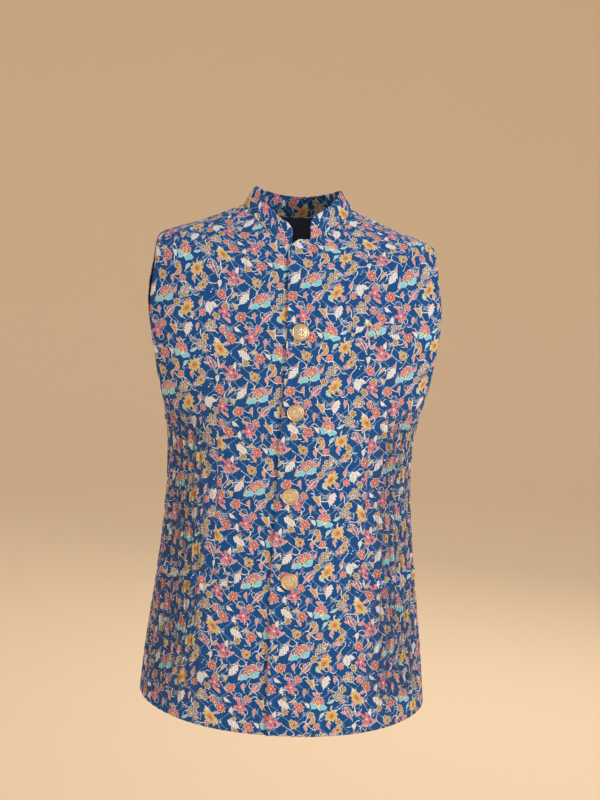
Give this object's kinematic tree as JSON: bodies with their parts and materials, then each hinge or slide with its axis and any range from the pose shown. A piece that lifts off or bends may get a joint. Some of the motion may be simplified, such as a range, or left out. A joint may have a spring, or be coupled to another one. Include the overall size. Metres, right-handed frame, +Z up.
{
  "type": "nehru jacket",
  "caption": "Sleeveless band-collar jacket in its worn, hollow form, with a lapped button front, a chest welt pocket and hip welt pockets.",
  "frame": {"origin": "middle of the neck, level with the points where the shoulder seams meet the collar, which is where the wearer holds the jacket up", "axes": "+Z up, -Y out of the jacket's front, +X towards the wearer's left"},
  "size_m": [0.414, 0.2579, 0.7485],
  "materials": {
    "printed_cloth": "dull woven cloth with an all-over floral print on deep blue",
    "brass_button": "pale satin brass with a raised rim and a low relief rosette"
  },
  "bodies": {
    "root": {"front_left": "printed_cloth", "front_right": "printed_cloth", "back": "printed_cloth", "collar": "printed_cloth", "chest_welt": "printed_cloth", "hip_welt_left": "printed_cloth", "hip_welt_right": "printed_cloth", "button_1": "brass_button", "button_2": "brass_button", "button_3": "brass_button", "button_4": "brass_button"}
  },
  "joints": []
}
